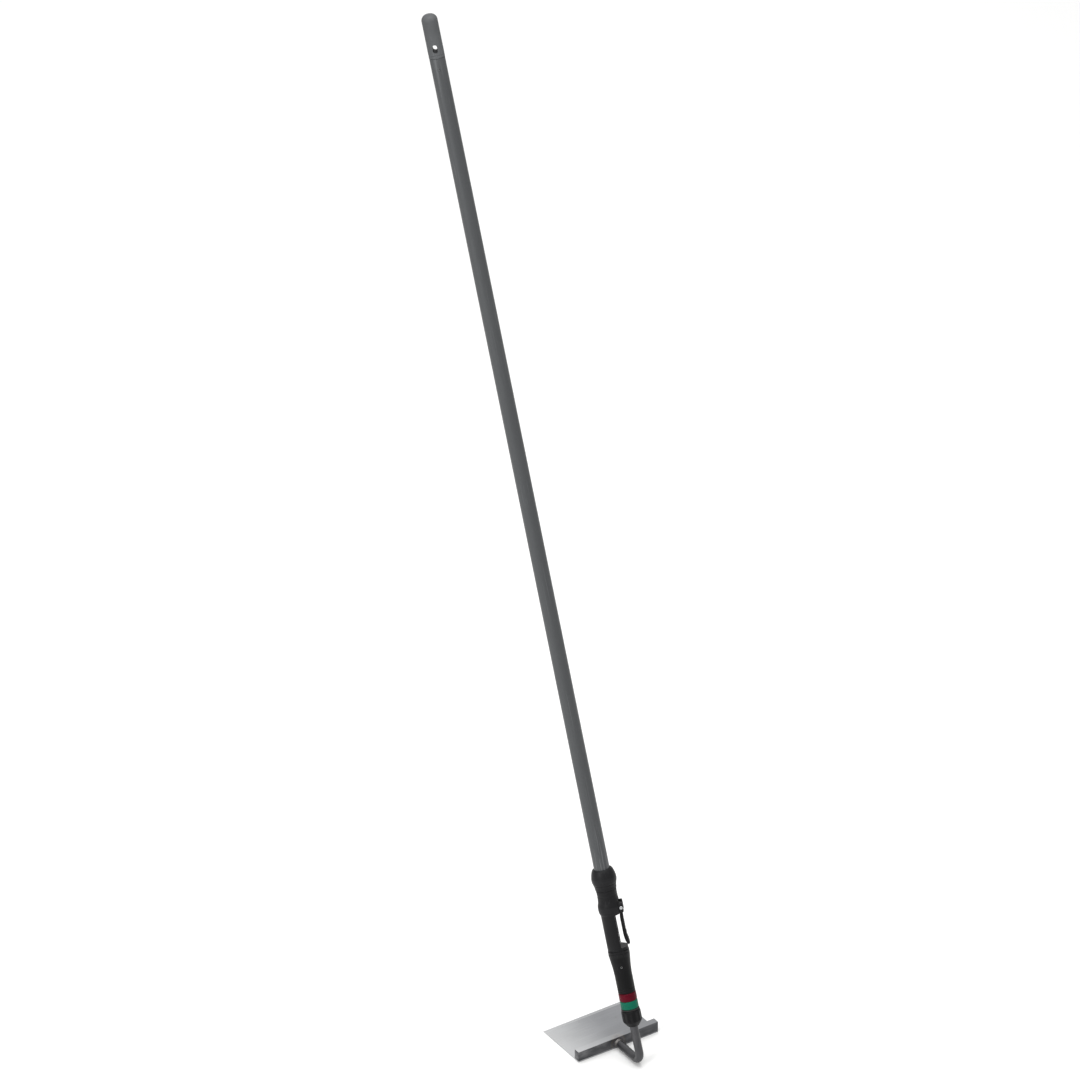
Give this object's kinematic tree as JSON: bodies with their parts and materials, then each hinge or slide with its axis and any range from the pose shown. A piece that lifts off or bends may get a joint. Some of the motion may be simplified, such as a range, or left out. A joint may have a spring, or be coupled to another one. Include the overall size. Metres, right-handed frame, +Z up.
{
  "type": "floor scraper",
  "caption": "Long-handled draw scraper for floors: flat steel blade on a bent neck, lever-clamped head on a grey tube.",
  "frame": {"origin": "centre of the blade's flat sole", "axes": "+Z up from the floor that the sole lies on, +X along the blade's length, +Y towards the blade's cutting edge, the side that the handle leans to"},
  "size_m": [0.15, 0.6095, 1.6563],
  "materials": {
    "tube_grey": "satin grey coating on a thin metal tube",
    "cap_grey": "fine moulded texture",
    "moulded_black": "fine moulded texture, rubbed a little on edges",
    "ring_red": "smooth dark red plastic",
    "ring_green": "smooth green plastic",
    "pale_nylon": "plain natural nylon",
    "seal_rubber": "dull black rubber",
    "shoe_brass": "machined",
    "bright_steel": "zinc plated",
    "neck_steel": "darkened round bar, drawn along its length",
    "weld_steel": "rippled weld bead",
    "blade_steel": "ground flat, with a bright cutting bevel"
  },
  "bodies": {
    "handle": {"pole_tube": "tube_grey", "tube_plug": "moulded_black", "end_cap": "cap_grey", "cap_pin": "bright_steel"},
    "head": {"clamp_body": "moulded_black", "guide_bush": "pale_nylon", "mouth_collar": "moulded_black", "lever_pin": "bright_steel", "pin_clip": "bright_steel", "ferrule": "moulded_black", "ferrule_pin": "bright_steel", "red_ring": "ring_red", "green_ring": "ring_green", "seal_washer": "seal_rubber", "neck_flange": "neck_steel", "neck_rod": "neck_steel", "tang_key": "bright_steel", "neck_weld": "weld_steel", "clamp_bar": "blade_steel", "blade": "blade_steel", "blade_screw_1": "bright_steel", "blade_screw_2": "bright_steel", "blade_screw_3": "bright_steel"},
    "lever": {"cam_lever": "moulded_black"},
    "shoe": {"clamp_shoe": "shoe_brass"},
    "nut": {"lock_nut": "moulded_black"}
  },
  "joints": [
    {"name": "head_slide", "type": "slide", "parent": "handle", "child": "head", "axis": [0, -0.342, -0.9397], "range_m": [0, 0.055]},
    {"name": "lever_swing", "type": "hinge", "parent": "head", "child": "lever", "pos_m": [0.01518, -0.03423, 0.2579], "axis": [-0.5299, -0.7969, 0.29], "range_deg": [0, 105]},
    {"name": "shoe_travel", "type": "slide", "parent": "head", "child": "shoe", "axis": [0.848, -0.498, 0.1812], "range_m": [0, 0.0006]},
    {"name": "nut_turn", "type": "hinge", "parent": "head", "child": "nut", "pos_m": [0, -0.08961, 0.07799], "axis": [0, 0.342, 0.9397], "range_deg": [0, 270]}
  ],
  "couplings": [
    {"joint": "shoe_travel", "follows": "lever_swing", "m_per_rad": 0.000327}
  ]
}
